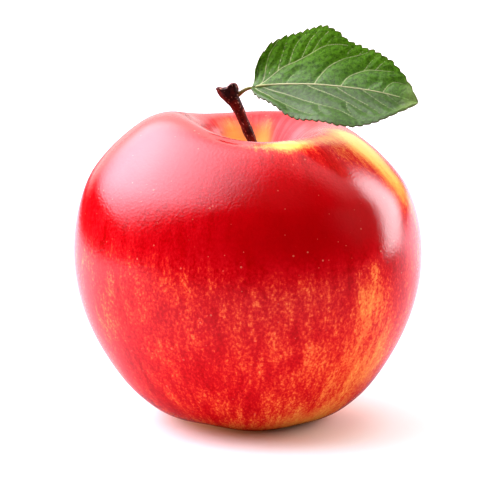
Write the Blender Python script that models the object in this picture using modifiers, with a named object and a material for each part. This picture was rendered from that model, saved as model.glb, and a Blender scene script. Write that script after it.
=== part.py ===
"""A whole red apple with its woody stem, one green leaf and the dried calyx underneath.

The fruit stands upright on the five low bumps round its basin. The origin is on the
ground below the middle of the fruit, and -Y is the side that is usually seen.
"""

import math

import bmesh
import bpy
from mathutils import Vector
from mathutils.geometry import interpolate_bezier

MM = 0.001
UP = Vector((0, 0, 1))

# Fruit: the turned outline
FRUIT_CENTRE_X = 0.8 * MM
EQUATOR_RADIUS = 40.5 * MM
EQUATOR_HEIGHT = 36.5 * MM
CREST_RADIUS = 18.5 * MM
CREST_HEIGHT = 69.0 * MM
CAVITY_DEPTH = 12.5 * MM
FOOT_RADIUS = 17.0 * MM
FOOT_HEIGHT = 0.45 * MM
BASIN_DEPTH = 6.5 * MM

# Stations between those sizes, as shares of the way outwards and of the way up or down
CAVITY_STATIONS = ((0.24, 0.12), (0.49, 0.48), (0.70, 0.84))
SHOULDER_STATIONS = ((0.32, 0.08), (0.77, 0.37), (0.95, 0.65))
LOWER_STATIONS = ((0.10, 0.325), (0.35, 0.65), (0.64, 0.875))
BASIN_STATIONS = ((0.35, 0.07), (0.68, 0.74))

# Fruit: how it departs from a turned shape
FRUIT_STEPS = 64
OUTLINE_SPACING = 3.2 * MM
SHOULDER_TILT = 1.5 * MM
SHOULDER_TILT_TOWARDS = math.radians(170)
SHOULDER_SADDLE = 0.9 * MM
SHOULDER_SADDLE_TOWARDS = math.radians(15)
SHOULDER_BUMPS = 0.5 * MM
SHOULDER_BUMPS_TOWARDS = math.radians(73)
OVAL_SHARE = 0.012
OVAL_TOWARDS = math.radians(40)
TRIANGLE_SHARE = 0.02
TRIANGLE_TOWARDS = math.radians(60)
LOBES = 5
LOBE_SHARE = 0.006
LOBE_TOWARDS = math.radians(200)
FOOT_DROP = 0.5 * MM

# Pieces that touch keep this gap
GAP = 0.3 * MM

# Stem: stations from the cavity's floor to the head, each with its radius
STEM_STATIONS = (
    (1.8, 0.0, 57.4, 1.20),
    (1.6, 0.0, 61.0, 1.00),
    (0.8, 0.0, 65.1, 0.98),
    (-0.4, 0.0, 67.9, 1.05),
    (-1.7, 0.0, 71.2, 1.10),
    (-2.9, 0.0, 73.6, 1.20),
    (-4.6, 0.0, 75.7, 1.45),
    (-5.5, 0.0, 77.0, 1.55),
)
STEM_SPACING = 1.5 * MM
HEAD_START = 73.0 * MM
HEAD_END = 77.0 * MM
HEAD_WIDEN = 1.5
HORN_HEIGHT = 0.9 * MM

# Leaf: the midrib's route, from the blade's base to its tip
MIDRIB_STATIONS = (
    (1.0, 0.0, 77.2),
    (9.0, -2.6, 78.1),
    (18.0, -5.6, 78.3),
    (29.0, -9.2, 77.4),
    (38.4, -12.0, 75.5),
)
PETIOLE_STATIONS = (
    (-1.9, 0.0, 75.9),
    (-0.6, 0.0, 76.8),
)
PETIOLE_RADIUS = 0.6 * MM
MIDRIB_TIP_RADIUS = 0.25 * MM
MIDRIB_END = 0.93
MIDRIB_BELOW = 0.25 * MM
MIDRIB_SPACING = 2.0 * MM

# Leaf: the blade's two halves, each as shares of the length and of the half's width
FAR_WIDTH = 14.6 * MM
FAR_OUTLINE = ((0, 0.3), (0.025, 0.52), (0.1, 0.76), (0.25, 0.91), (0.4, 0.98), (0.55, 0.78),
               (0.73, 0.64), (0.86, 0.46), (0.94, 0.24), (1, 0.02))
NEAR_WIDTH = 14.4 * MM
NEAR_OUTLINE = ((0, 0.06), (0.06, 0.26), (0.14, 0.46), (0.32, 0.82), (0.5, 0.97), (0.6, 1.0),
                (0.71, 0.9), (0.86, 0.6), (0.95, 0.24), (1, 0.02))
FAR_LEAN = math.radians(30)
NEAR_DROOP = math.radians(25)
BLADE_THICKNESS = 0.5 * MM
BLADE_CUP = 0.7 * MM
FOLD_ROUNDING = 1.2 * MM
TEETH = 24
TOOTH_DEPTH = 0.5 * MM
TOOTH_STATIONS = ((0.0, 0.0), (0.5, 0.6), (0.86, 1.0))
HALF_STRIPS = 6
EDGE_WAVES = 2.6
EDGE_WAVE_HEIGHT = 0.55 * MM
SIDE_VEINS = 6
VEIN_SLANT = 0.22
PUCKER_HEIGHT = 0.25 * MM

# Calyx: five withered sepals on the basin's floor
CALYX_RADIUS = 4.2 * MM
CALYX_DROP = 3.4 * MM
CALYX_RIM = 0.5 * MM
CALYX_STEPS = 20
CALYX_STAR = 0.3


def smooth_step(share):
    """Rise gently from 0 to 1 as the share does."""
    share = min(max(share, 0.0), 1.0)
    return share * share * (3 - 2 * share)


def smooth_line(stations, spacing, first=None, last=None):
    """Points a given spacing apart on a smooth curve through all the stations."""
    points = [Vector(station) for station in stations]
    headings = [(b - a).normalized() for a, b in zip(points, points[2:])]
    headings.insert(0, first or (points[1] - points[0]).normalized())
    headings.append(last or (points[-1] - points[-2]).normalized())
    line = []
    for i in range(len(points) - 1):
        start, end = points[i], points[i + 1]
        reach = (end - start).length / 3
        count = max(2, round((end - start).length / spacing) + 1)
        leave = start + headings[i] * reach
        arrive = end - headings[i + 1] * reach
        line += interpolate_bezier(start, leave, arrive, end, count)[:-1]
    return line + [points[-1]]


def read_line(line, x):
    """The height of a line of points, given left to right, at one x."""
    for a, b in zip(line, line[1:]):
        if x <= b.x:
            return a.y + (b.y - a.y) * (x - a.x) / (b.x - a.x)
    return line[-1].y


def between(start, end, shares):
    """Stations at shares of the way from start to end, outwards and in height."""
    return [(start[0] + (end[0] - start[0]) * out, start[1] + (end[1] - start[1]) * up)
            for out, up in shares]


def fruit_outline():
    """Half of the fruit's section, as radius and height, from the stem end to the calyx end."""
    floor = (0, CREST_HEIGHT - CAVITY_DEPTH)
    crest = (CREST_RADIUS, CREST_HEIGHT)
    equator = (EQUATOR_RADIUS, EQUATOR_HEIGHT)
    foot = (FOOT_RADIUS, FOOT_HEIGHT)
    pole = (0, BASIN_DEPTH)
    stations = [floor, *between(floor, crest, CAVITY_STATIONS),
                crest, *between(crest, equator, SHOULDER_STATIONS),
                equator, *between(equator, foot, LOWER_STATIONS),
                foot, *between(foot, pole, BASIN_STATIONS), pole]
    return smooth_line([(r, 0, z) for r, z in stations], OUTLINE_SPACING,
                       Vector((1, 0, 0)), Vector((-1, 0, 0)))


def grown(co):
    """Where a point of the turned fruit lies once the shoulders and lobes have grown."""
    radius = math.hypot(co.x, co.y)
    turn = math.atan2(co.y, co.x)
    lobe = math.cos(LOBES * (turn - LOBE_TOWARDS))
    top = smooth_step((co.z - 25 * MM) / (45 * MM)) * smooth_step(radius / (8 * MM))
    tilt = SHOULDER_TILT * math.cos(turn - SHOULDER_TILT_TOWARDS)
    saddle = SHOULDER_SADDLE * math.cos(2 * (turn - SHOULDER_SADDLE_TOWARDS))
    bumps = SHOULDER_BUMPS * math.cos(3 * (turn - SHOULDER_BUMPS_TOWARDS))
    base = smooth_step(1 - co.z / (35 * MM))
    oval = OVAL_SHARE * math.cos(2 * (turn - OVAL_TOWARDS))
    triangle = TRIANGLE_SHARE * math.cos(3 * (turn - TRIANGLE_TOWARDS))
    outwards = smooth_step(radius / (20 * MM))
    stretch = 1 + outwards * (oval + triangle) + base * LOBE_SHARE * lobe
    foot = smooth_step(1 - co.z / (6 * MM)) * smooth_step(radius / (8 * MM))
    height = co.z + top * (tilt + saddle + bumps)
    height -= foot * FOOT_DROP * (0.5 + 0.5 * lobe)
    return Vector((co.x * stretch + FRUIT_CENTRE_X, co.y * stretch, height))


def principled(name, colour, roughness):
    """A plain material of one colour."""
    material = bpy.data.materials.new(name)
    material.use_nodes = True
    shader = material.node_tree.nodes["Principled BSDF"]
    shader.inputs["Base Color"].default_value = (*colour, 1)
    shader.inputs["Roughness"].default_value = roughness
    return material


def mesh_object(name, mesh, collection, material=None):
    """A new object that holds the mesh, in the collection."""
    obj = bpy.data.objects.new(name, mesh)
    collection.objects.link(obj)
    if material:
        mesh.materials.append(material)
    return obj


def baked(obj):
    """The object's mesh with its modifiers or bevel applied, and its loose caps welded."""
    bpy.context.view_layer.update()
    graph = bpy.context.evaluated_depsgraph_get()
    mesh = bpy.data.meshes.new_from_object(obj.evaluated_get(graph))
    mesh.name = obj.name
    shape = bmesh.new()
    shape.from_mesh(mesh)
    bmesh.ops.remove_doubles(shape, verts=shape.verts, dist=0.001 * MM)
    shape.to_mesh(mesh)
    shape.free()
    bpy.data.objects.remove(obj)
    return mesh


def turned(name, outline, steps, collection):
    """The mesh that an outline at +X makes when it is turned about the Z axis."""
    mesh = bpy.data.meshes.new(name)
    shape = bmesh.new()
    verts = [shape.verts.new(point) for point in outline]
    for a, b in zip(verts, verts[1:]):
        shape.edges.new((a, b))
    shape.to_mesh(mesh)
    shape.free()
    obj = mesh_object(name, mesh, collection)
    screw = obj.modifiers.new("turn", "SCREW")
    screw.steps = steps
    screw.render_steps = steps
    screw.use_merge_vertices = True
    screw.merge_threshold = 0.0001 * MM
    return baked(obj)


def tube(name, route, radii, collection):
    """The mesh of a round bar that follows a route, with a radius at each point."""
    curve = bpy.data.curves.new(name, "CURVE")
    curve.dimensions = "3D"
    curve.bevel_depth = 1.0
    curve.bevel_resolution = 3
    curve.use_fill_caps = True
    spline = curve.splines.new("POLY")
    spline.points.add(len(route) - 1)
    for point, place, radius in zip(spline.points, route, radii):
        point.co = (*place, 1)
        point.radius = radius
    return baked(mesh_object(name, curve, collection))


def build_fruit(collection):
    """The fruit: one solid, from the cavity round the stem to the basin underneath."""
    mesh = turned("fruit", fruit_outline(), FRUIT_STEPS, collection)
    for vert in mesh.vertices:
        vert.co = grown(vert.co)
        vert.co.z = max(vert.co.z, 0)
    mesh.shade_smooth()
    return mesh_object("fruit", mesh, collection, principled("red skin", (0.55, 0.01, 0.01), 0.3))


def build_stem(collection):
    """The woody stem, which leans to the left and ends in a torn head with two horns."""
    line = smooth_line([Vector(station) * MM for station in
                        [station[:3] for station in STEM_STATIONS]], STEM_SPACING)
    heights = [(z * MM, radius * MM) for _, _, z, radius in STEM_STATIONS]
    thickness = [Vector((z, radius)) for z, radius in heights]
    mesh = tube("stem", line, [read_line(thickness, point.z) for point in line], collection)
    axis = [Vector((point.z, point.x)) for point in line]
    for vert in mesh.vertices:
        head = smooth_step((vert.co.z - HEAD_START) / (HEAD_END - HEAD_START))
        middle = read_line(axis, vert.co.z)
        across = vert.co.x - middle
        vert.co.x = middle + across * (1 + (HEAD_WIDEN - 1) * head)
        vert.co.z += head * HORN_HEIGHT * (abs(across) / (1.6 * MM)) ** 2
    mesh.shade_smooth()
    return mesh_object("stem", mesh, collection, principled("bark", (0.11, 0.03, 0.02), 0.7))


def tooth(share):
    """The edge's height within one tooth, which leans towards the tip."""
    for (start, low), (end, high) in zip(TOOTH_STATIONS, (*TOOTH_STATIONS[1:], (1.0, 0.0))):
        if share <= end:
            return low + (high - low) * (share - start) / (end - start)
    return 0.0


def blade_point(along, across, midrib, far_half, near_half):
    """A point of the blade, from shares of the way along it and out to either edge."""
    place = along * (len(midrib) - 1)
    index = min(int(place), len(midrib) - 2)
    rib = midrib[index].lerp(midrib[index + 1], place - index)
    heading = midrib[-1] - midrib[0]
    away = UP.cross(heading).normalized()
    if across >= 0:
        outwards = away * math.sin(FAR_LEAN) + UP * math.cos(FAR_LEAN)
        face = UP * math.sin(FAR_LEAN) - away * math.cos(FAR_LEAN)
        width = FAR_WIDTH * read_line(far_half, along)
    else:
        outwards = -away * math.cos(NEAR_DROOP) - UP * math.sin(NEAR_DROOP)
        face = UP * math.cos(NEAR_DROOP) - away * math.sin(NEAR_DROOP)
        width = NEAR_WIDTH * read_line(near_half, along)
    out = abs(across)
    width += TOOTH_DEPTH * tooth(along * TEETH % 1) * out ** 4 * smooth_step(width / (2 * MM))
    fullness = smooth_step(width / (8 * MM))
    slant = along - VEIN_SLANT * out
    wave = EDGE_WAVE_HEIGHT * math.sin(math.tau * EDGE_WAVES * along + across) * out ** 2
    pucker = PUCKER_HEIGHT * abs(math.sin(math.pi * SIDE_VEINS * slant)) * math.sin(math.pi * out)
    cup = BLADE_CUP * math.sin(math.pi * out)
    fold = FOLD_ROUNDING * max(0.0, 1 - out * width / (3 * MM)) ** 2 * 0.35
    rise = fullness * (wave + pucker - cup + fold)
    return rib + outwards * width * out + face * rise


def build_leaf(collection, cutters):
    """The leaf: a folded, toothed blade, its midrib below it and its short stalk."""
    stations = [Vector(station) * MM for station in MIDRIB_STATIONS]
    midrib = smooth_line(stations, MIDRIB_SPACING)
    far_half = smooth_line([(*pair, 0) for pair in FAR_OUTLINE], 0.02)
    near_half = smooth_line([(*pair, 0) for pair in NEAR_OUTLINE], 0.02)
    along = [(k + start) / TEETH for k in range(TEETH) for start, _ in TOOTH_STATIONS] + [1.0]
    columns, rows = len(along), 2 * HALF_STRIPS + 1

    shape = bmesh.new()
    bmesh.ops.create_grid(shape, x_segments=columns - 1, y_segments=rows - 1, size=0.5)
    for vert in shape.verts:
        column = round((vert.co.x + 0.5) * (columns - 1))
        across = 2 * vert.co.y
        vert.co = blade_point(along[column], across, midrib, far_half, near_half)
    bmesh.ops.triangulate(shape, faces=shape.faces)
    mesh = bpy.data.meshes.new("leaf")
    shape.to_mesh(mesh)
    shape.free()
    blade = mesh_object("leaf", mesh, collection, principled("leaf green", (0.09, 0.2, 0.03), 0.5))
    wall = blade.modifiers.new("thickness", "SOLIDIFY")
    wall.thickness = BLADE_THICKNESS
    wall.offset = 0

    stalk = [Vector(station) * MM for station in PETIOLE_STATIONS]
    route = smooth_line(stalk + stations, MIDRIB_SPACING)
    route = [point - UP * MIDRIB_BELOW for point in route[:round(len(route) * MIDRIB_END)]]
    radii = [PETIOLE_RADIUS + (MIDRIB_TIP_RADIUS - PETIOLE_RADIUS) * i / (len(route) - 1)
             for i in range(len(route))]
    rib = mesh_object("rib", tube("rib", route, radii, cutters), cutters)
    rib.hide_render = True
    rib.display_type = "WIRE"
    join = blade.modifiers.new("rib", "BOOLEAN")
    join.operation = "UNION"
    join.object = rib
    return blade


def build_calyx(collection):
    """The dried calyx: a small five-pointed star that hangs from the basin's floor."""
    outline = fruit_outline()
    floor = [Vector((point.x, point.z)) for point in reversed(outline) if point.z < BASIN_DEPTH * 1.01]
    floor = [point for point in floor if point.x < FOOT_RADIUS]
    seat = [share * CALYX_RADIUS for share in (0, 0.3, 0.6, 0.85)]
    top = [(r, 0, read_line(floor, r) - GAP) for r in seat]
    rim_height = top[-1][2]
    tip = BASIN_DEPTH - GAP - CALYX_DROP
    side = [(CALYX_RADIUS, 0, rim_height - CALYX_RIM), (0.62 * CALYX_RADIUS, 0, tip + 0.9 * MM),
            (0.3 * CALYX_RADIUS, 0, tip), (0, 0, tip + 1.2 * MM)]
    mesh = turned("calyx", top + side, CALYX_STEPS, collection)
    for vert in mesh.vertices:
        turn = math.atan2(vert.co.y, vert.co.x)
        star = 1 + CALYX_STAR * (math.cos(LOBES * (turn - LOBE_TOWARDS)) - 1) / 2
        vert.co.x = vert.co.x * star + FRUIT_CENTRE_X
        vert.co.y *= star
    return mesh_object("calyx", mesh, collection, principled("dry sepals", (0.12, 0.07, 0.03), 0.8))


def main():
    for obj in list(bpy.data.objects):
        bpy.data.objects.remove(obj)
    pieces = bpy.data.collections.new("whole fruit with stem and leaf")
    cutters = bpy.data.collections.new("cutters")
    bpy.context.scene.collection.children.link(pieces)
    bpy.context.scene.collection.children.link(cutters)
    build_fruit(pieces)
    build_stem(pieces)
    build_leaf(pieces, cutters)
    build_calyx(pieces)


main()
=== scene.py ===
# %% [markdown]
# # A ripe red apple, from its skin to its leaf
# This lesson dresses a plain CAD model of a whole apple. The CAD fixes where everything is and how
# big it is. Here each piece gets the shape and finish that the eye expects: waxy mottled skin, a
# barky stem, a veined leaf and a dry calyx underneath.
#
# The first cell loads the CAD as a frame that nothing may move.

# %% Load the frame
import math

import bmesh
import bpy
import numpy as np
from mathutils import Matrix, Vector, noise
from mathutils.geometry import interpolate_bezier


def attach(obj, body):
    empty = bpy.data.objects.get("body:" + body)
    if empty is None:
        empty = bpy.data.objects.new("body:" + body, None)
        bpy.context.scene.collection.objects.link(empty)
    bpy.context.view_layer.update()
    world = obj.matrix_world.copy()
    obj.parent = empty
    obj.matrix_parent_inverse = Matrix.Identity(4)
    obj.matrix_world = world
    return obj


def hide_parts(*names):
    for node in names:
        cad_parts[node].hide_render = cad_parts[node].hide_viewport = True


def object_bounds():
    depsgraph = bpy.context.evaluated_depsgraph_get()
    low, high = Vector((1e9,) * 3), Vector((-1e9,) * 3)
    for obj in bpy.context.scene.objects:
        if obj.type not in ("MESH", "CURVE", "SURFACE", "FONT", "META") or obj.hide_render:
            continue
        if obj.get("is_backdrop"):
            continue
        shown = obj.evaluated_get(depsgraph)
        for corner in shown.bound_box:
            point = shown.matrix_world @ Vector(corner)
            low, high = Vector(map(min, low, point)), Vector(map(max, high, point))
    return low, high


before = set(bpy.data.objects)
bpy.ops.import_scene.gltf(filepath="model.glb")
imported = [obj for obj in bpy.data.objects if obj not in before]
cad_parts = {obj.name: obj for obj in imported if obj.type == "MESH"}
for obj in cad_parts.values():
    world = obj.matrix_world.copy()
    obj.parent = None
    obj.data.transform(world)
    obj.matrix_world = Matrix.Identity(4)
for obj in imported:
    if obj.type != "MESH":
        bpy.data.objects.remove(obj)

MM = 0.001
UP = Vector((0, 0, 1))
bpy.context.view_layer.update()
print("CAD nodes:", sorted(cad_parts))

# %% [markdown]
# ## The camera
# A long lens from a little above makes a product picture calm: the fruit hardly narrows with
# distance, and the cavity round the stem shows as a thin ellipse. The camera stands 60 cm away,
# 12 degrees above the horizon. The lens follows from how many pixels a millimetre takes.

# %% Place the camera
PICTURE_WIDTH = 500
SENSOR_WIDTH = 36
PIXELS_PER_RADIAN = 2570
CAMERA_DISTANCE = 600 * MM
CAMERA_ELEVATION = math.radians(12)
CAMERA_TARGET = Vector((0.42, 0, 40.5)) * MM

camera = bpy.data.objects.new("camera", bpy.data.cameras.new("camera"))
camera.data.sensor_width = SENSOR_WIDTH
camera.data.lens = PIXELS_PER_RADIAN / PICTURE_WIDTH * SENSOR_WIDTH
camera.data.clip_start = 10 * MM
camera.data.clip_end = 20
towards_camera = Vector((0, -math.cos(CAMERA_ELEVATION), math.sin(CAMERA_ELEVATION)))
camera.location = CAMERA_TARGET + towards_camera * CAMERA_DISTANCE
camera.rotation_euler = towards_camera.to_track_quat("Z", "Y").to_euler()
bpy.context.scene.collection.objects.link(camera)
bpy.context.scene.camera = camera
print("lens:", round(camera.data.lens), "mm")

# %% [markdown]
# ## Node trees in a few words
# A material is a small graph. Writing every node and link out takes many lines, so five helpers
# keep the recipes short: one fills a socket, one adds any node, one does sums, one mixes two
# colours and one turns a value into a soft step. The last three return an output socket, which
# the next call takes as an input.

# %% Helpers for nodes
def feed(tree, socket, value):
    """Set a socket to a plain value, or link another node's output to it."""
    if isinstance(value, bpy.types.NodeSocket):
        tree.links.new(value, socket)
    else:
        socket.default_value = value


def add_node(tree, kind, inputs=None, **settings):
    """A new shader node with its settings and its inputs, which are given by name."""
    node = tree.nodes.new("ShaderNode" + kind)
    for name, value in settings.items():
        setattr(node, name, value)
    for name, value in (inputs or {}).items():
        feed(tree, node.inputs[name], value)
    return node


def sums(tree, operation, *values):
    """One step of arithmetic on up to three values."""
    node = add_node(tree, "Math", operation=operation)
    for socket, value in zip(node.inputs, values):
        feed(tree, socket, value)
    return node.outputs[0]


def mixed(tree, share, first, second):
    """Two colours mixed by a share."""
    node = add_node(tree, "Mix", data_type="RGBA")
    share_and_colours = (0, 6, 7)
    for index, value in zip(share_and_colours, (share, first, second)):
        feed(tree, node.inputs[index], value)
    return node.outputs[2]


def step(tree, value, low, high, to_low=0.0, to_high=1.0):
    """A soft step: to_low below low, to_high above high."""
    inputs = {"Value": value, "From Min": low, "From Max": high, "To Min": to_low, "To Max": to_high}
    return add_node(tree, "MapRange", inputs, interpolation_type="SMOOTHSTEP").outputs[0]


print("node helpers: feed, add_node, sums, mixed and step")

# %% [markdown]
# Four more helpers know what a finish needs. Natural surfaces are never even, and most of their
# unevenness is noise that is drawn out one way, as along a grain. Colours are written as the
# usual six figures, and the shader wants them in linear light.

# %% Helpers for finishes
def grains(tree, place, size, stretch=(1, 1, 1), detail=2.0, roughness=0.5):
    """Noise whose spots are about size metres across, drawn out where stretch is below 1."""
    drawn = add_node(tree, "VectorMath", {0: place, 1: stretch}, operation="MULTIPLY").outputs[0]
    inputs = {"Vector": drawn, "Scale": 1 / size, "Detail": detail, "Roughness": roughness}
    return add_node(tree, "TexNoise", inputs).outputs[0]


def colour(code):
    """A colour of a shader, from the usual six-figure code."""
    parts = [int(code[i:i + 2], 16) / 255 for i in (0, 2, 4)]
    return (*[p / 12.92 if p <= 0.04045 else ((p + 0.055) / 1.055) ** 2.4 for p in parts], 1.0)


def new_material(name, **sockets):
    """A material, its tree and its shader, with the shader's own sockets set."""
    material = bpy.data.materials.new(name)
    material.use_nodes = True
    shader = material.node_tree.nodes["Principled BSDF"]
    for socket, value in sockets.items():
        shader.inputs[socket.replace("_", " ")].default_value = value
    return material, material.node_tree, shader


def bump(tree, shader, height, distance):
    """Send a height, in shares of a distance, to the shader's normal."""
    inputs = {"Height": height, "Distance": distance, "Strength": 1.0}
    feed(tree, shader.inputs["Normal"], add_node(tree, "Bump", inputs).outputs[0])


print("finish helpers: grains, colour, new_material and bump")

# %% [markdown]
# ## Table and light
# Glossy fruit shows its surroundings, so the light is planned as a picture in the skin. One very
# large softbox hangs to the left and reaches far behind: its mirror image is the pale patch on the
# left shoulder. A tall one stands behind to the right. It leans back and is brightest along its
# near side, which draws the curved stripe on the right shoulder. The white table ends a hand's
# breadth in front of the fruit, and beyond it the room is dark. That is why the front is a deep red
# above and a lighter one below, where it mirrors the table as a painted reflection.
#
# The table's near part, past that edge, is a second sheet that shows to the camera and isn't
# mirrored, so a camera that looks from behind still sees one even table.

# %% A sheet of the table
TABLE_FRONT = -0.23
TABLE_REACH = 4.0


def table_sheet(name, front, back, material):
    """A flat sheet of the table between two distances from the fruit."""
    shape = bmesh.new()
    bmesh.ops.create_grid(shape, x_segments=1, y_segments=1, size=0.5)
    place = Matrix.Translation((0, (front + back) / 2, 0))
    stretch = Matrix.Diagonal((2 * TABLE_REACH, back - front, 1, 1))
    bmesh.ops.transform(shape, matrix=place @ stretch, verts=shape.verts)
    mesh = bpy.data.meshes.new(name)
    shape.to_mesh(mesh)
    shape.free()
    mesh.materials.append(material)
    sheet = bpy.data.objects.new(name, mesh)
    bpy.context.scene.collection.objects.link(sheet)
    sheet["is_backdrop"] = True
    return sheet


def distance_from(tree, place, spot):
    """How far a place is from a spot."""
    return add_node(tree, "VectorMath", {0: place, 1: spot}, operation="DISTANCE").outputs["Value"]


def distance_along(tree, place, heading):
    """How far a place lies along a heading."""
    return add_node(tree, "VectorMath", {0: place, 1: heading}, operation="DOT_PRODUCT").outputs["Value"]


print("table edge:", round(-TABLE_FRONT / MM), "mm in front of the fruit")

# %% [markdown]
# The tabletop glows a little, like opal glass with light under it, as product tables often are: the
# glow is painted light that keeps the shadow round the fruit soft. Close to the fruit the glow is
# warm, painted light bounced from the skin above it, and right underneath there is none, which
# leaves a painted contact shadow.

# %% Lay the white table
TABLE_WHITE = "F4F3F2"
TABLE_PAINTED_BOUNCE = "F2A878"
TABLE_PAINTED_GLOW = 0.37
PAINTED_GLOW_CENTRE = (0.006, -0.009, 0)
PAINTED_CONTACT_SHADE_RING = (0.004, 0.027)
PAINTED_BOUNCE_RING = (0.014, 0.032)

table_white, tree, shader = new_material("white table", Roughness=0.2, IOR=1.4)
shader.inputs["Base Color"].default_value = colour(TABLE_WHITE)
place = add_node(tree, "TexCoord").outputs["Object"]
# painted light: the table's glow, warm near the fruit as painted bounce from the skin, and missing right
# underneath as a painted contact shadow
apart = distance_from(tree, place, PAINTED_GLOW_CENTRE)
lit = mixed(tree, step(tree, apart, *PAINTED_BOUNCE_RING), colour(TABLE_PAINTED_BOUNCE), colour(TABLE_WHITE))
feed(tree, shader.inputs["Emission Color"], lit)
feed(tree, shader.inputs["Emission Strength"], step(tree, apart, *PAINTED_CONTACT_SHADE_RING, 0, TABLE_PAINTED_GLOW))
table_parts = {"table": (TABLE_FRONT, TABLE_REACH), "near table": (-TABLE_REACH, TABLE_FRONT)}
for name, (front, back) in table_parts.items():
    sheet = table_sheet(name, front, back, table_white)
    sheet.visible_glossy = False
    sheet.visible_diffuse = name == "table"
print("table glows at", TABLE_PAINTED_GLOW)

# %% [markdown]
# The skin mirrors a third sheet in the same place, which nothing else sees. It is a painted
# reflection of the table: its glow is painted light, bright behind and to the left, where the
# softboxes light the table, and it fades towards the dark room, into a painted shadow of the
# fruit and past the light's reach.

# %% The table that the skin mirrors
TABLE_PAINTED_REFLECTION = "FFD3E4"
TOWARDS_DARK = (0.42, -0.91, 0)
TOWARDS_KEY = (-0.9, 0.43, 0)
PAINTED_SHADOW_CENTRE = (0.01, -0.03, 0)
MIRRORED_BRIGHT, MIRRORED_DIM = 2.3, 0.1
DARK_FROM, DARK_TO = -0.1, 0.07
PAINTED_SHADOW_RING = (0.02, 0.075)
LIGHT_ENDS = (0.28, 0.42)

glow, tree, shader = new_material("painted reflection of the table", Roughness=1.0)
shader.inputs["Base Color"].default_value = (0, 0, 0, 1)
shader.inputs["Emission Color"].default_value = colour(TABLE_PAINTED_REFLECTION)
place = add_node(tree, "TexCoord").outputs["Object"]
# painted reflection: this glow stands for the lit table, and it is darkened round the fruit as a painted
# shadow
inputs = {"Value": distance_along(tree, place, TOWARDS_DARK), "From Min": DARK_FROM, "From Max": DARK_TO,
          "To Min": MIRRORED_BRIGHT, "To Max": MIRRORED_DIM}
lit = add_node(tree, "MapRange", inputs).outputs[0]
lit = sums(tree, "MULTIPLY", lit, step(tree, distance_from(tree, place, PAINTED_SHADOW_CENTRE), *PAINTED_SHADOW_RING))
past_light = step(tree, distance_along(tree, place, TOWARDS_KEY), *LIGHT_ENDS, 1, 0)
feed(tree, shader.inputs["Emission Strength"], sums(tree, "MULTIPLY", lit, past_light))
mirrored = table_sheet("mirrored table", TABLE_FRONT, TABLE_REACH, glow)
mirrored.visible_camera = False
mirrored.visible_diffuse = False
mirrored.visible_shadow = False
print("mirrored table: from", MIRRORED_DIM, "to", MIRRORED_BRIGHT)

# %% [markdown]
# A softbox is an area light. A real one is brighter in the middle than at its rim, and the skin
# mirrors that, so a box here can fade round a spot.

# %% A softbox
def softbox(name, centre, towards, size):
    """A light at centre, facing a point, that the camera itself doesn't see."""
    light = bpy.data.lights.new(name, "AREA")
    light.shape = "RECTANGLE"
    light.size, light.size_y = size
    box = bpy.data.objects.new(name, light)
    box.location = centre
    box.rotation_euler = (Vector(centre) - Vector(towards)).to_track_quat("Z", "Y").to_euler()
    box.visible_camera = False
    bpy.context.scene.collection.objects.link(box)
    return box


def shine(box, radiance, tint=(1, 1, 1), spot=None, fade=None, core=0.0):
    """Set how bright a softbox is. It may fade to nothing round a spot, given in shares of its sides."""
    light = box.data
    light.energy = radiance * math.pi * light.size * light.size_y
    light.color = tint
    if spot:
        light.use_nodes = True
        tree = light.node_tree
        face = add_node(tree, "NewGeometry").outputs["Parametric"]
        aside = add_node(tree, "VectorMath", {0: face, 1: (*spot, 0)}, operation="SUBTRACT").outputs[0]
        sides = (light.size / fade[0], light.size_y / fade[1], 0)
        aside = add_node(tree, "VectorMath", {0: aside, 1: sides}, operation="MULTIPLY").outputs[0]
        apart = add_node(tree, "VectorMath", {0: aside}, operation="LENGTH").outputs["Value"]
        feed(tree, tree.nodes["Emission"].inputs["Strength"], step(tree, apart, core, 1, 1, 0))


print("softboxes are ready to hang")

# %% [markdown]
# The key softbox is a long slope from low on the left to high above the fruit, turned a little
# towards the back. Its far end is what the left shoulder mirrors, up to the cavity's lip.

# %% Hang the key softbox
KEY_LOW, KEY_HIGH = Vector((-0.9, 0, 0.23)), Vector((0.2, 0, 1.0))
KEY_FRONT, KEY_BACK = -0.95, 0.8
KEY_TURN = Matrix.Rotation(math.radians(-22), 3, "Z")
KEY_TINT = (1.0, 0.86, 1.04)
KEY_RADIANCE = 11.5
KEY_SPOT, KEY_FADE = (0.37, 0.52), (0.8, 0.74)

key_across = KEY_HIGH - KEY_LOW
key_size = (key_across.length, KEY_BACK - KEY_FRONT)
key_middle = (KEY_LOW + KEY_HIGH) / 2 + Vector((0, (KEY_FRONT + KEY_BACK) / 2, 0))
key = softbox("key softbox", KEY_TURN @ key_middle, (0, 0, 0), key_size)
key_up = Vector((0, 1, 0))
key_sides = (key_across.normalized(), key_up, key_across.normalized().cross(key_up))
key.rotation_euler = (KEY_TURN @ Matrix(key_sides).transposed()).to_euler()
shine(key, KEY_RADIANCE, KEY_TINT, spot=KEY_SPOT, fade=KEY_FADE)
print("key softbox:", " x ".join(str(round(side, 2)) for side in key_size), "m")

# %% [markdown]
# The strip softbox fades round a spot on its near side, so that only half of the bright oval is
# there. In the bulging shoulder that half is mirrored as a crescent with a crisp outer edge.

# %% Hang the strip softbox
STRIP_PLACE, STRIP_TOWARDS = (0.567, 0.451, 0.302), (-0.058, 0.106, 0.042)
STRIP_SIZE = (0.5, 0.92)
STRIP_ROLL = math.radians(-23.6)
STRIP_TINT = (1, 0.95, 1)
STRIP_RADIANCE = 7.5
STRIP_SPOT, STRIP_FADE, STRIP_CORE = (0, 0.4), (0.41, 0.4), 0.62

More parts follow.
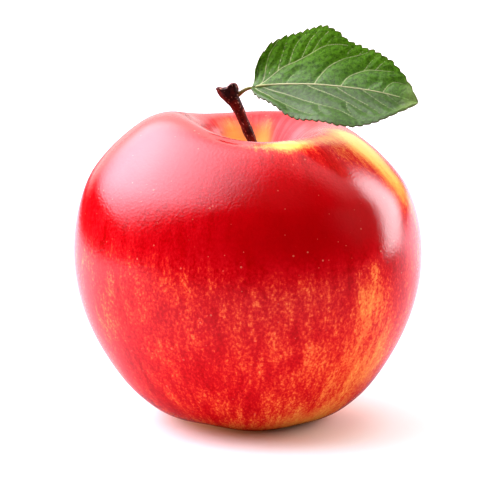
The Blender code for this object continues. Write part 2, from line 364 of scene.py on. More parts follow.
strip = softbox("strip softbox", STRIP_PLACE, STRIP_TOWARDS, STRIP_SIZE)
strip.rotation_euler.rotate_axis("Z", STRIP_ROLL)
shine(strip, STRIP_RADIANCE, STRIP_TINT, spot=STRIP_SPOT, fade=STRIP_FADE, core=STRIP_CORE)
print("strip softbox:", " x ".join(str(side) for side in STRIP_SIZE), "m")

# %% [markdown]
# Three more boxes, above, beside and behind, only soften the shadows. The skin doesn't mirror
# them, because each would draw one more pale patch on it.

# %% Hang the softening boxes
FRUIT_MIDDLE = (0, 0, 0.04)
SOFTENING_BOXES = (
    # name, place, side and radiance
    ("top softbox", (0, 0.05, 1.2), 1.1, 1.5),
    ("side softbox", (0.78, -0.08, 0.45), 0.5, 3.2),
    ("rear softbox", (0.35, 0.75, 0.35), 0.6, 2.2),
)

for name, place, side, radiance in SOFTENING_BOXES:
    box = softbox(name, place, FRUIT_MIDDLE, (side, side))
    box.visible_glossy = False
    shine(box, radiance)
print("softening boxes:", len(SOFTENING_BOXES))

# %% [markdown]
# The room is dark in front and white behind, so that the skin's outline is edged with light all
# round. It is brighter higher up, dims a little to the right, and a faint glow overhead puts a
# pink haze on the fruit's top.

# %% Light the room behind
WHITE_WAY = (-0.12, 1, 0.35)
WHITE_STARTS = (0.86, 1.0)
WHITE_GLOW, WHITE_RISE = 1.2, 2.5
DIM_TO_RIGHT = 0.6
OVERHEAD_GLOW = 0.9
OVERHEAD_STARTS = (0.58, 0.78)
OVERHEAD_BACK = (0.03, 0.25)

world = bpy.data.worlds.new("white room behind")
bpy.context.scene.world = world
world.use_nodes = True
tree = world.node_tree
direction = add_node(tree, "TexCoord").outputs["Generated"]
right, backwards, up = add_node(tree, "SeparateXYZ", {"Vector": direction}).outputs
behind = step(tree, distance_along(tree, direction, WHITE_WAY), *WHITE_STARTS)
height = sums(tree, "POWER", sums(tree, "MAXIMUM", up, 0), 2)
higher = sums(tree, "MULTIPLY_ADD", height, WHITE_RISE, WHITE_GLOW)
higher = sums(tree, "MULTIPLY", higher, sums(tree, "MULTIPLY_ADD", right, -DIM_TO_RIGHT, 1))
overhead = step(tree, backwards, *OVERHEAD_BACK, 0, OVERHEAD_GLOW)
overhead = sums(tree, "MULTIPLY", step(tree, up, *OVERHEAD_STARTS), overhead)
walls = tree.nodes["Background"].inputs
walls["Color"].default_value = (1, 1, 1, 1)
feed(tree, walls["Strength"], sums(tree, "MULTIPLY_ADD", higher, behind, overhead))

bpy.context.scene.view_settings.view_transform = "Standard"
bpy.context.scene.view_settings.look = "None"
print("room:", world.name)

# %% [markdown]
# ## The fruit's form
# An apple grows round its core, so its section is nearly that of a turned piece: a deep cavity at
# the stem, a crest, a wide waist above the middle and a basin underneath. It could be sculpted,
# but a section that is spun keeps it true to the CAD, which was made from the same few sizes.
# Growth then spoils the roundness a little: one shoulder is higher, and five lobes end in the low
# bumps that the fruit stands on.

# %% A smooth line
def smooth_line(stations, spacing, first=None, last=None):
    """Points a given spacing apart on a smooth curve through all the stations."""
    points = [Vector(station) for station in stations]
    headings = [(b - a).normalized() for a, b in zip(points, points[2:])]
    headings.insert(0, first or (points[1] - points[0]).normalized())
    headings.append(last or (points[-1] - points[-2]).normalized())
    line = []
    for i in range(len(points) - 1):
        start, end = points[i], points[i + 1]
        reach = (end - start).length / 3
        count = max(2, round((end - start).length / spacing) + 1)
        leave = start + headings[i] * reach
        arrive = end - headings[i + 1] * reach
        line += interpolate_bezier(start, leave, arrive, end, count)[:-1]
    return line + [points[-1]]


print("smooth line: curves from station to station")

# %% The outline
FRUIT_CENTRE_X = 0.8 * MM
EQUATOR = Vector((40.5, 36.5)) * MM
CREST = Vector((18.5, 69.0)) * MM
CAVITY_FLOOR = Vector((0, 56.5)) * MM
FOOT = Vector((17.0, 0.45)) * MM
BASIN_FLOOR = Vector((0, 6.5)) * MM
OUTLINE_SPACING = 0.6 * MM


def between(start, end, shares):
    """Stations at shares of the way from start to end, outwards and in height."""
    return [Vector((start.x + (end.x - start.x) * out, start.y + (end.y - start.y) * up))
            for out, up in shares]


stations = [CAVITY_FLOOR, *between(CAVITY_FLOOR, CREST, ((0.24, 0.12), (0.49, 0.48), (0.70, 0.84))),
            CREST, *between(CREST, EQUATOR, ((0.32, 0.08), (0.77, 0.37), (0.95, 0.65))),
            EQUATOR, *between(EQUATOR, FOOT, ((0.10, 0.325), (0.35, 0.65), (0.64, 0.875))),
            FOOT, *between(FOOT, BASIN_FLOOR, ((0.35, 0.07), (0.68, 0.74))), BASIN_FLOOR]
outline = smooth_line([(p.x, 0, p.y) for p in stations], OUTLINE_SPACING,
                      Vector((1, 0, 0)), Vector((-1, 0, 0)))
print("outline:", len(outline), "points from", len(stations), "stations")

# %% [markdown]
# Two helpers make the pieces. One turns a bmesh into an object that rides on the CAD's body. The
# other spins a line of points into a closed shell, as a potter's wheel does, and each point
# remembers how far along the line it lies.

# %% Helpers for pieces
def new_piece(name, shape):
    """A smooth object at the origin made from the bmesh, which rides on the fruit's body."""
    mesh = bpy.data.meshes.new(name)
    shape.to_mesh(mesh)
    shape.free()
    mesh.shade_smooth()
    piece = bpy.data.objects.new(name, mesh)
    bpy.context.scene.collection.objects.link(piece)
    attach(piece, "root")
    return piece


def spun(line, steps):
    """A closed shell: a line of points at +X, spun a full turn, that knows how far along it each is."""
    shape = bmesh.new()
    travelled = shape.verts.layers.float.new("travelled")
    before = None
    distance = 0.0
    for point in line:
        vert = shape.verts.new(point)
        if before:
            distance += (vert.co - before.co).length
            shape.edges.new((before, vert))
        vert[travelled] = distance
        before = vert
    bmesh.ops.spin(shape, geom=shape.verts[:] + shape.edges[:], cent=(0, 0, 0), dvec=(0, 0, 0),
                   axis=(0, 0, 1), angle=math.tau, steps=steps, use_merge=True)
    bmesh.ops.remove_doubles(shape, verts=shape.verts, dist=0.001 * MM)
    bmesh.ops.recalc_face_normals(shape, faces=shape.faces)
    return shape


print("pieces ride on the body root")

# %% Spin the outline
FRUIT_STEPS = 300

shape = spun(outline, FRUIT_STEPS)
fruit = new_piece("waxy_fruit", shape)
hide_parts("fruit")
print("fruit:", len(fruit.data.polygons), "faces")

# %% [markdown]
# ## Growth
# numpy moves all the points at once, which is as quick for a hundred thousand as for ten. Each
# point's angle round the core and its distance from the stem, measured along the skin, are kept
# as an attribute called grain. Later the stripes and flecks are drawn on that, so that they
# run from stem to calyx as they do on the real skin.

# %% Helpers for points
def ease(share):
    """Rise gently from 0 to 1 as the share does."""
    share = np.clip(share, 0, 1)
    return share * share * (3 - 2 * share)


def wave(turn, folds, towards):
    """A ripple with so many folds round the fruit, one of them at an angle in degrees."""
    return np.cos(folds * (turn - math.radians(towards)))


def read_points(mesh):
    """The mesh's points as rows of x, y and z."""
    flat = np.empty(len(mesh.vertices) * 3, np.float32)
    mesh.vertices.foreach_get("co", flat)
    return flat.reshape(-1, 3).astype(float)


def write_points(mesh, points):
    """Move the mesh's points."""
    mesh.vertices.foreach_set("co", points.astype(np.float32).ravel())
    mesh.update()


def read_layer(mesh, name):
    """One number of each point, from an attribute."""
    flat = np.empty(len(mesh.vertices), np.float32)
    mesh.attributes[name].data.foreach_get("value", flat)
    return flat.astype(float)


def write_layer(mesh, name, values):
    """Keep a number or a vector of each point as an attribute."""
    kind, field = ("FLOAT", "value") if values.ndim == 1 else ("FLOAT_VECTOR", "vector")
    layer = mesh.attributes.new(name, kind, "POINT")
    layer.data.foreach_set(field, values.astype(np.float32).ravel())


print("fruit has", len(read_points(fruit.data)), "points to move")

# %% [markdown]
# The left shoulder grows higher than the right one. Three shallow waves go round the waist, and
# five round the base. Under the near lip of the cavity runs a short crease, as where a leaf's
# stalk or a twig pressed on the young fruit.

# %% How it grows
SHOULDER_WAVES = ((1, 170, 1.5), (2, 15, 0.9), (3, 73, 0.5))
SHOULDER_FROM, SHOULDER_LONG = 25 * MM, 45 * MM
WAIST_WAVES = ((2, 40, 0.012), (3, 60, 0.02))
BASE_LOBES = (5, 200)
BASE_SPREAD = 0.006
BASE_HEIGHT, FOOT_HEIGHT = 35 * MM, 6 * MM
FOOT_DROP = 0.25
CORE_RADIUS, FLESH_RADIUS = 8 * MM, 20 * MM


def waves(turn, ripples):
    """Several ripples added up, each given by its folds, its angle and its height."""
    return sum(height * wave(turn, folds, towards) for folds, towards, height in ripples)


def grown(points, turn):
    """Where the points of the spun fruit lie once its shoulders and lobes have grown."""
    x, y, z = points.T
    radius = np.hypot(x, y)
    lobe = wave(turn, *BASE_LOBES)
    beyond_core = ease(radius / CORE_RADIUS)
    top = ease((z - SHOULDER_FROM) / SHOULDER_LONG) * beyond_core
    lift = waves(turn, SHOULDER_WAVES)
    outwards = ease(radius / FLESH_RADIUS)
    base = ease(1 - z / BASE_HEIGHT)
    stretch = 1 + outwards * waves(turn, WAIST_WAVES) + base * BASE_SPREAD * lobe
    foot = ease(1 - z / FOOT_HEIGHT) * beyond_core
    height = z + top * lift * MM - foot * (FOOT_DROP + FOOT_DROP * lobe) * MM
    return np.stack([x * stretch + FRUIT_CENTRE_X, y * stretch, np.maximum(height, 0)], 1)


print("growth:", len(SHOULDER_WAVES), "shoulder waves and", BASE_LOBES[0], "lobes")

# %% Let it grow
CREASE_ANGLE, CREASE_WIDE = -102, 13
CREASE_MIDDLE, CREASE_LONG = 24.3, 1.1
CREASE_DEPTH = 0.4 * MM

points = read_points(fruit.data)
arc = read_layer(fruit.data, "travelled")
from_stem = arc / MM
turn = np.arctan2(points[:, 1], points[:, 0])
across_turn = np.degrees(turn)
points = grown(points, turn)
aside = (across_turn - CREASE_ANGLE) / CREASE_WIDE
crease = np.exp(-aside ** 2 - ((from_stem - CREASE_MIDDLE) / CREASE_LONG) ** 2)
points[:, 2] -= CREASE_DEPTH * crease
write_points(fruit.data, points)
grain = np.stack([np.cos(turn) * EQUATOR.x, np.sin(turn) * EQUATOR.x, arc], 1)
write_layer(fruit.data, "grain", grain)
print("fruit's height:", round(points[:, 2].max() / MM, 1), "mm")

# %% [markdown]
# ## Where the skin is yellow
# The red of an apple is a blush over a yellow ground. It is thin where the leaf shaded the skin, in
# the cavity and low down. Each pale spot is a soft oval, named by its angle round the fruit, its
# distance from the stem along the skin, its reach both ways and its strength.

# %% The blush
PALE_SPOTS = (
    # degrees round, mm from the stem, degrees wide, mm long, strength
    (-68, 25.5, 15, 3.2, 0.95),
    (-42, 25.5, 16, 2.6, 0.5),
    (-28, 28, 17, 8, 0.38),
    (-60, 32, 45, 6, 0.14),
    (-150, 50, 30, 14, 0.13),
    (-112, 48, 20, 12, 0.07),
    (-90, 26, 10, 2, 0.3),
    (-10, 30, 14, 9, 0.85),
    (-17, 42, 11, 9, 0.72),
    (-14, 54, 12, 12, 0.3),
    (-50, 68, 7, 8, 0.2),
    (-44, 88, 22, 14, 0.28),
    (-60, 104, 34, 7, 0.35),
    (15, 60, 20, 40, 0.15),
    (112, 12, 22, 9, 0.8),
    (74, 12, 13, 7, 0.7),
)
PALE_ALL = 0.06
PALE_LOW, LOW_FROM, LOW_LONG = 0.25, 53, 13
PALE_CAVITY, CAVITY_FROM, CAVITY_LONG = 0.5, 2, 14
PALE_BASIN, BASIN_FROM, BASIN_LONG = 0.4, 100, 16


def turned_from(angle):
    """How many degrees round the fruit each point is from an angle, either way."""
    return (across_turn - angle + 180) % 360 - 180


pale = np.full(len(arc), PALE_ALL)
for angle, middle, wide, long, strength in PALE_SPOTS:
    pale += strength * np.exp(-(turned_from(angle) / wide) ** 2 - ((from_stem - middle) / long) ** 2)
pale += PALE_LOW * ease((from_stem - LOW_FROM) / LOW_LONG)
pale += PALE_CAVITY * ease(1 - (from_stem - CAVITY_FROM) / CAVITY_LONG)
pale += PALE_BASIN * ease((from_stem - BASIN_FROM) / BASIN_LONG)
write_layer(fruit.data, "pale", np.minimum(pale, 1.0))
print("pale share of the skin:", round(float(pale.mean()), 2))

# %% [markdown]
# The wax isn't even either. It is dull deep in the cavity and on its far wall, where nothing rubs
# it to a shine, and on the lip under the leaf. That is a second attribute, called worn.

# %% The worn wax
WORN_ANGLE, WORN_WIDE = -26, 34
WORN_MIDDLE, WORN_LONG = 23.5, 6.5
DEEP_END, DEEP_LONG = 19, 10
FAR_WALL_ANGLE, FAR_WALL_WIDE = 55, 60
FAR_WALL_END, FAR_WALL_LONG = 27, 7

under_leaf = -(turned_from(WORN_ANGLE) / WORN_WIDE) ** 2 - ((from_stem - WORN_MIDDLE) / WORN_LONG) ** 2
worn = np.maximum(np.exp(under_leaf), ease((DEEP_END - from_stem) / DEEP_LONG))
far_wall = np.exp(-(turned_from(FAR_WALL_ANGLE) / FAR_WALL_WIDE) ** 2)
worn = np.maximum(worn, far_wall * ease((FAR_WALL_END - from_stem) / FAR_WALL_LONG))
write_layer(fruit.data, "worn", worn)
print("worn share of the skin:", round(float(worn.mean()), 2))

# %% [markdown]
# ## Waxy skin
# Close up, the blush is not a flat colour. It is made of fine flecks and broader stripes, all drawn
# out from stem to calyx, with pale pores called lenticels between them. The flecks decide where
# the yellow ground shows through: they are added to the pale attribute, and the sum picks a shade.

# %% Helpers for the skin
def shades(tree, value, stops):
    """A colour that follows a value through several stops."""
    node = add_node(tree, "ValToRGB", {"Fac": value})
    ramp = node.color_ramp
    while len(ramp.elements) < len(stops):
        ramp.elements.new(0.5)
    for element, (place, code) in zip(ramp.elements, stops):
        element.position = place
    for element, (place, code) in zip(ramp.elements, stops):
        element.color = colour(code)
    return node.outputs[0]


def centred(tree, value, times):
    """A noise value, counted from its middle and made so many times larger."""
    return sums(tree, "MULTIPLY_ADD", value, times, -times / 2)


def pores(tree, place, size, halo, heart, most):
    """Round pale spots of a size apart, with a small dark heart, in a share of the cells."""
    cells = add_node(tree, "TexVoronoi", {"Vector": place, "Scale": 1 / size})
    lucky = add_node(tree, "SeparateXYZ", {"Vector": cells.outputs["Color"]}).outputs[0]
    picked = sums(tree, "LESS_THAN", lucky, most)
    away = sums(tree, "MULTIPLY", cells.outputs["Distance"], size / MM)
    spots = sums(tree, "MULTIPLY", step(tree, away, halo * 0.5, halo, 1, 0), picked)
    hearts = sums(tree, "MULTIPLY", step(tree, away, heart * 0.5, heart, 1, 0), picked)
    return spots, hearts


print("skin helpers: shades, centred and pores")

# %% Flecks and stripes
SKIN_SHADES = (
    (0.0, "9E0001"),
    (0.14, "B40008"),
    (0.3, "C60B14"),
    (0.46, "DC331E"),
    (0.66, "EE7838"),
    (0.84, "F8A84A"),
    (1.0, "F2CC5E"),
)
FLECK_SIZE, STREAK_SIZE, CLOUD_SIZE = 0.6 * MM, 2.2 * MM, 9 * MM
FLECK_SHARE, STREAK_SHARE, CLOUD_SHARE = 1.2, 0.65, 0.5

skin, tree, shader = new_material("waxy red skin", IOR=1.48)
grain_of = add_node(tree, "Attribute", attribute_name="grain").outputs["Vector"]
pale_of = add_node(tree, "Attribute", attribute_name="pale").outputs["Fac"]
place = add_node(tree, "TexCoord").outputs["Object"]
travelled = add_node(tree, "SeparateXYZ", {"Vector": grain_of}).outputs[2]

fleck = grains(tree, grain_of, FLECK_SIZE, (1, 1, 0.75), 3, 0.7)
streak = grains(tree, grain_of, STREAK_SIZE, (1, 1, 0.3), 2, 0.5)
cloud = grains(tree, grain_of, CLOUD_SIZE, (1, 1, 0.6), 2)

ragged = sums(tree, "ADD", centred(tree, fleck, FLECK_SHARE), centred(tree, streak, STREAK_SHARE))
ragged = sums(tree, "ADD", ragged, centred(tree, cloud, CLOUD_SHARE))
amount = sums(tree, "MULTIPLY", step(tree, pale_of, 0.0, 0.3), step(tree, pale_of, 0.3, 0.9, 1, 0.45))
ragged = sums(tree, "MULTIPLY_ADD", ragged, amount, pale_of)
skin_colour = shades(tree, ragged, SKIN_SHADES)
print("skin:", len(SKIN_SHADES), "shades from blush to ground")

# %% [markdown]
# In the cavity the colours run in rays out from the stem, red and pink, and orange where the skin
# is pale. On top go the pores, large ones and small ones. The wax is a smooth gloss with the
# faintest bump, which ripples the edges of what it mirrors. It is dull where it is worn.

# %% Rays, pores and wax
CAVITY_PINK = "DC6866"
CAVITY_RED = "C83E40"
CAVITY_ORANGE = "F0A04A"
RAY_SIZE = 3.0 * MM
PORE_PALE = "F0A27C"
PORE_DARK = "5A1A0C"
LARGE_PORES = (3.1 * MM, 0.3, 0.12, 0.6)
SMALL_PORES = (1.9 * MM, 0.18, 0.05, 0.5)
WAX_DULL, WAX_GLOSSY = 0.5, 0.14
SHEEN_FRESH, SHEEN_WORN = 0.5, 0.08
WAX_BUMP = 0.045 * MM

ray = grains(tree, grain_of, RAY_SIZE, (1, 1, 0.12), 3, 0.6)
cavity = mixed(tree, step(tree, ray, 0.38, 0.62), colour(CAVITY_RED), colour(CAVITY_PINK))
cavity = mixed(tree, step(tree, pale_of, 0.2, 0.9), cavity, colour(CAVITY_ORANGE))
skin_colour = mixed(tree, step(tree, travelled, 12 * MM, 24 * MM, 0.85, 0), skin_colour, cavity)

spots, hearts = pores(tree, place, *LARGE_PORES)
small_spots, _ = pores(tree, place, *SMALL_PORES)
skin_colour = mixed(tree, sums(tree, "MULTIPLY", spots, 0.3), skin_colour, colour(PORE_PALE))
skin_colour = mixed(tree, sums(tree, "MULTIPLY", small_spots, 0.25), skin_colour, colour(PORE_PALE))
skin_colour = mixed(tree, sums(tree, "MULTIPLY", hearts, 0.7), skin_colour, colour(PORE_DARK))
feed(tree, shader.inputs["Base Color"], skin_colour)

worn_of = add_node(tree, "Attribute", attribute_name="worn").outputs["Fac"]
feed(tree, shader.inputs["Roughness"], step(tree, travelled, 8 * MM, 20 * MM, WAX_DULL, WAX_GLOSSY))
feed(tree, shader.inputs["Specular IOR Level"], step(tree, worn_of, 0, 1, SHEEN_FRESH, SHEEN_WORN))
bump(tree, shader, grains(tree, place, 0.6 * MM, (1, 1, 1), 2), WAX_BUMP)
fruit.data.materials.append(skin)
print("skin has", len(tree.nodes), "nodes")

# %% [markdown]
# ## The stem
# The stem is a woody stalk about as thick as a match. It widens to a knobby head where it was
# torn from the twig, with two horns and a scar between them. It could be a curve with a bevel, but
# then its skin would be as smooth as a pipe. Here a straight bar is spun first, in shares of
# the stem's length and radius, and numpy bends it along the stem and roughens it as it goes.

# %% Spin a straight bar
STEM_STEPS = 48
STEM_RINGS = 170

# each station is a share of the radius, nothing, and a share of the length
bar_line = [(0, 0, 0), (0.5, 0, 0), (0.9, 0, 0.001)]
bar_line += [(1, 0, ring / STEM_RINGS) for ring in range(1, STEM_RINGS)]
bar_line += [(0.93, 0, 1)] + [(share / 10, 0, 1) for share in range(8, -1, -1)]
stem = new_piece("woody_stem", spun(bar_line, STEM_STEPS))
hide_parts("stem")
print("stem:", len(stem.data.polygons), "faces")

# %% The stem's line
STEM_STATIONS = (
    # x, y, z and radius, in mm
    (1.85, 0, 56.3, 1.2),
    (1.6, 0, 61, 1.0),
    (0.8, 0, 65.1, 1.06),
    (-0.4, 0, 67.9, 1.18),
    (-1.8, 0, 71.2, 1.26),
    (-3.0, 0, 73.6, 1.5),
    (-4.3, 0, 75.5, 1.75),
    (-5.1, 0, 77.3, 1.6),
)


def lumps(places, size, seed):
    """Smooth noise between -1 and 1 at each place, with bumps about size metres across."""
    return np.array([noise.noise(Vector(place) / size + Vector((seed, 0, 0))) for place in places])


def along_line(line, shares):
    """Points at shares of the way along a line of points."""
    steps = np.linspace(0, 1, len(line))
    return np.stack([np.interp(shares, steps, [point[i] for point in line]) for i in range(3)], 1)


axis = smooth_line([Vector(station[:3]) * MM for station in STEM_STATIONS], 0.3 * MM)
heights = np.array([station[2] for station in STEM_STATIONS]) * MM
radii = np.array([station[3] for station in STEM_STATIONS]) * MM
print("stem's line:", len(axis), "points")

# %% Bend it along the line
HEAD_SHARE = 0.8

bar = read_points(stem.data)
turn = np.arctan2(bar[:, 1], bar[:, 0])
out = np.hypot(bar[:, 0], bar[:, 1])
middle = along_line(axis, bar[:, 2])
ahead = along_line(axis, bar[:, 2] + 0.02) - along_line(axis, bar[:, 2] - 0.02)
ahead /= np.linalg.norm(ahead, axis=1)[:, None]
head = ease((bar[:, 2] - HEAD_SHARE) / (1 - HEAD_SHARE))
ahead += (np.array(UP) - ahead) * head[:, None]
ahead /= np.linalg.norm(ahead, axis=1)[:, None]
sideways = np.stack([ahead[:, 2], ahead[:, 1] * 0, -ahead[:, 0]], 1)
print("head starts", round(float(middle[head > 0, 2].min()) / MM, 1), "mm up")

# %% [markdown]
# The bark has long ridges and small bumps, and the head is the roughest part. The grain is the
# place of each point on the straight bar, so the ridges follow the stem round its bend.

# %% Roughen its bark
BARK_ROUND, BARK_LONG = 1.2, 20
RIDGE_HEIGHT, CRACK_HEIGHT, KNOB_HEIGHT = 0.12, 0.09, 0.10
HEAD_ROUGHER = 0.14

radius = np.interp(middle[:, 2], heights, radii)
place = [np.cos(turn) * BARK_ROUND * MM, np.sin(turn) * BARK_ROUND * MM, bar[:, 2] * BARK_LONG * MM]
place = np.stack(place, 1)
ridges = RIDGE_HEIGHT * lumps(place * (1, 1, 0.5), 1.7 * MM, 3)
cracks = CRACK_HEIGHT * lumps(place * (1, 1, 0.25), 0.55 * MM, 7)
knobs = (KNOB_HEIGHT + HEAD_ROUGHER * head) * lumps(place, 0.8 * MM, 11)
bark = ridges + cracks + knobs
radius = radius * out + bark * MM * ease(out * 1.4 - 0.4)
print("bark stands out by up to", round(float(bark.max()), 2), "mm")

# %% [markdown]
# At the top the bar's end face becomes the scar. A low horn rises on its left and a high one on
# its right, with a rough hollow between them.

# %% Shape its torn head
LOW_HORN, HIGH_HORN = 0.25, 1.25
HOLLOW = 0.25
SCAR_ROUGH = 0.25

across = np.cos(turn) * out
offset = sideways * (radius * np.cos(turn) * (1 + 0.5 * head))[:, None]
offset[:, 1] += radius * np.sin(turn)
top = ease((bar[:, 2] - 0.9) / 0.1)
horns = LOW_HORN * np.exp(-((across + 0.7) / 0.32) ** 2) + HIGH_HORN * ease((across + 0.15) / 0.75)
scar = place * (1, 1, 0) + np.stack([across * MM, turn * 0, turn * 0], 1)
scar = SCAR_ROUGH * lumps(scar, 0.6 * MM, 5) * (out < 0.95)
points = middle + offset + ahead * (top * (horns - HOLLOW + scar) * MM)[:, None]
write_points(stem.data, points)
write_layer(stem.data, "grain", place)
write_layer(stem.data, "scar", ease(top * 1.5 - 0.5) * ease(1.5 - out * 0.7))
print("stem's top:", round(points[:, 2].max() / MM, 1), "mm up")

# %% [markdown]
# ## Bark
# Dry bark is a dark reddish brown, nearly black in its cracks, with a few tan flecks where its
# skin has rubbed off, most of them on the scar. It has a dull shine, since it is still waxy.

# %% The bark
BARK_DARK = "2A0805"
BARK_RED = "6A1C10"
BARK_TAN = "C98F74"
BARK_CRACK = "120302"

bark_skin, tree, shader = new_material("reddish bark", Roughness=0.6, Specular_IOR_Level=0.18)
grain_of = add_node(tree, "Attribute", attribute_name="grain").outputs["Vector"]
scar_of = add_node(tree, "Attribute", attribute_name="scar").outputs["Fac"]
fibre = grains(tree, grain_of, 0.35 * MM, (1, 1, 0.3), 3, 0.6)
patch = grains(tree, grain_of, 1.4 * MM, (1, 1, 0.6), 2)
rubbed = sums(tree, "MULTIPLY_ADD", scar_of, 0.07, grains(tree, grain_of, 0.4 * MM, (1, 1, 0.7), 2))
bark_colour = mixed(tree, step(tree, patch, 0.4, 0.65), colour(BARK_DARK), colour(BARK_RED))
bark_colour = mixed(tree, step(tree, fibre, 0.45, 0.3), bark_colour, colour(BARK_CRACK))
bark_colour = mixed(tree, step(tree, rubbed, 0.62, 0.7, 0, 0.8), bark_colour, colour(BARK_TAN))
feed(tree, shader.inputs["Base Color"], bark_colour)
bump(tree, shader, fibre, 0.12 * MM)
stem.data.materials.append(bark_skin)
print("bark has", len(tree.nodes), "nodes")

# %% [markdown]
# ## The leaf's blade
# A leaf is a sheet a third of a millimetre thick. It is folded along its midrib and saw-toothed
# round its edge, and the soft green between its veins bulges upwards, because the veins stop it
# from growing longer. A picture of a leaf on a flat card would show the same veins from one side
# only. A fine grid that is bent by numpy has real teeth and real bulges from all sides.
#
# Each point of the grid has two shares: how far along the midrib it is, and how far out to either
# edge. The same two shares, in millimetres, also say where the veins run.

# %% The leaf's lines
MIDRIB_STATIONS = ((1, 0, 77.2), (9, -2.6, 78.1), (18, -5.6, 78.3), (29, -9.2, 77.4),
                   (38.4, -12, 75.5))
FAR_WIDTH, FAR_LEAN = 14.6 * MM, math.radians(30)
FAR_OUTLINE = ((0, 0.3), (0.025, 0.52), (0.1, 0.76), (0.25, 0.91), (0.4, 0.98), (0.55, 0.78),
               (0.73, 0.64), (0.86, 0.46), (0.94, 0.24), (1, 0.02))
NEAR_WIDTH, NEAR_DROOP = 14.4 * MM, math.radians(25)
NEAR_OUTLINE = ((0, 0.06), (0.06, 0.26), (0.14, 0.46), (0.32, 0.82), (0.5, 0.97), (0.6, 1.0),
                (0.71, 0.9), (0.86, 0.6), (0.95, 0.24), (1, 0.02))

midrib = smooth_line([Vector(station) * MM for station in MIDRIB_STATIONS], 0.25 * MM)
far_half = np.array(smooth_line([(*pair, 0) for pair in FAR_OUTLINE], 0.004))
near_half = np.array(smooth_line([(*pair, 0) for pair in NEAR_OUTLINE], 0.004))
leaf_length = sum((b - a).length for a, b in zip(midrib, midrib[1:]))
print("leaf:", round(leaf_length / MM, 1), "mm long")

# %% [markdown]
# The side veins leave the midrib, curve towards the tip and fork before the edge. Each one is a
# few stations on the flat leaf, with its width, and it thins as it runs out.

# %% The veins
VEINS = (
    # a width in mm, then shares along the midrib and mm out from it, far half above 0
    (0.16, (0.011, 1.0), (0.011, 2.3), (0.011, 5.1), (0.021, 6.4)),
    (0.24, (0.03, 0), (0.056, 1.1), (0.061, 5.6), (0.071, 8.1), (0.116, 11.5)),
    (0.3, (0.02, 0), (0.046, 0.4), (0.156, 4.5), (0.237, 6.2), (0.322, 8.1), (0.387, 9.7), (0.462, 10.5),
     (0.54, 10.6)),
    (0.18, (0.138, 3.8), (0.14, 5.5), (0.15, 8.2), (0.166, 11.6)),
    (0.22, (0.2, 5.4), (0.205, 7.4), (0.22, 10), (0.25, 12), (0.287, 13.2)),
    (0.18, (0.27, 7.0), (0.285, 9), (0.31, 11.5), (0.357, 13.7)),
    (0.18, (0.33, 8.3), (0.35, 10), (0.38, 12), (0.417, 13.3)),
    (0.13, (0.41, 10.0), (0.43, 11.3), (0.467, 12.5)),
    (0.28, (0.377, 0), (0.4, 2.4), (0.442, 4.9), (0.492, 6.5), (0.543, 7.6), (0.633, 9), (0.668, 9.7)),
    (0.16, (0.543, 7.6), (0.548, 9.0), (0.578, 10.4)),
    (0.13, (0.61, 8.7), (0.625, 9.4), (0.64, 9.9)),
    (0.26, (0.538, 0), (0.558, 2.3), (0.593, 3.7), (0.673, 5.3), (0.728, 5.6), (0.834, 5.9)),
    (0.16, (0.655, 5.1), (0.68, 7), (0.718, 9.0)),
    (0.15, (0.72, 5.6), (0.75, 7), (0.788, 8.2)),
    (0.22, (0.788, 0), (0.803, 2), (0.828, 3.3), (0.859, 3.7), (0.914, 3.7)),
    (0.12, (0.7, 0), (0.715, 1.6), (0.74, 2.6)),
    (0.13, (0.21, 0), (0.22, 1.6), (0.24, 2.8), (0.26, 3.8)),
    (0.12, (0.085, 2.4), (0.09, 4), (0.105, 5.4)),
    (0.24, (0.01, 0), (0.05, -1.4), (0.12, -3.3), (0.17, -5.2), (0.26, -7.3), (0.36, -9.5), (0.45, -11.5)),
    (0.26, (0.05, 0), (0.11, -1.1), (0.23, -3), (0.36, -5.3), (0.47, -6.9), (0.58, -8.1), (0.7, -10.5)),
    (0.22, (0.33, 0), (0.37, -0.9), (0.47, -2.3), (0.6, -4.6), (0.74, -7.6)),
    (0.2, (0.5, 0), (0.62, -2.6), (0.75, -5), (0.82, -7)),
    (0.18, (0.66, 0), (0.77, -2.4), (0.87, -4.4)),
    (0.15, (0.8, 0), (0.9, -2)),
    (0.13, (0.45, -6.7), (0.47, -9), (0.52, -11.5)),
    (0.13, (0.6, -4.6), (0.62, -7), (0.66, -9)),
    (0.12, (0.26, -7.3), (0.27, -8.5), (0.29, -9.6)),
)
VEIN_SHARE = 0.7
VEIN_THINS_TO = 0.45


def vein_paths():
    """Each vein as points in mm on the flat leaf, with its half width at each point."""
    length = leaf_length / MM
    for width, *stations in VEINS:
        path = np.array(smooth_line([(share * length, out, 0) for share, out in stations], 0.12))
        thins = np.linspace(1, VEIN_THINS_TO, len(path))
        yield path[:, :2], width / 2 * VEIN_SHARE * thins


print("veins:", len(VEINS), "with", sum(len(path) for path, _ in vein_paths()), "points")

# %% [markdown]
# The blade's two halves lean differently: the far one stands up behind the midrib and the near
# one hangs down in front of it. Each half is cupped, its edge waves a little, and close to the
# midrib the fold is rounded.

# %% The edge's teeth and the fold
TEETH = 24
TOOTH_DEPTH = 0.75 * MM
TOOTH_RUN, TOOTH_RISE = (0, 0.3, 0.6, 0.85, 1), (0, 0.5, 0.8, 1, 0)
EDGE_WAVES, EDGE_WAVE = 2.6, 0.55
CUP = 0.7
FOLD_ROUND, FOLD_REACH = 0.42, 3 * MM
FULL_WIDTH = 8 * MM


def edge_teeth(share):
    """The height of the edge's teeth, which lean towards the tip and differ a little."""
    size = 0.8 + 0.2 * np.sin(np.floor(share * TEETH) * 2.4)
    return size * np.interp(share * TEETH % 1, TOOTH_RUN, TOOTH_RISE)


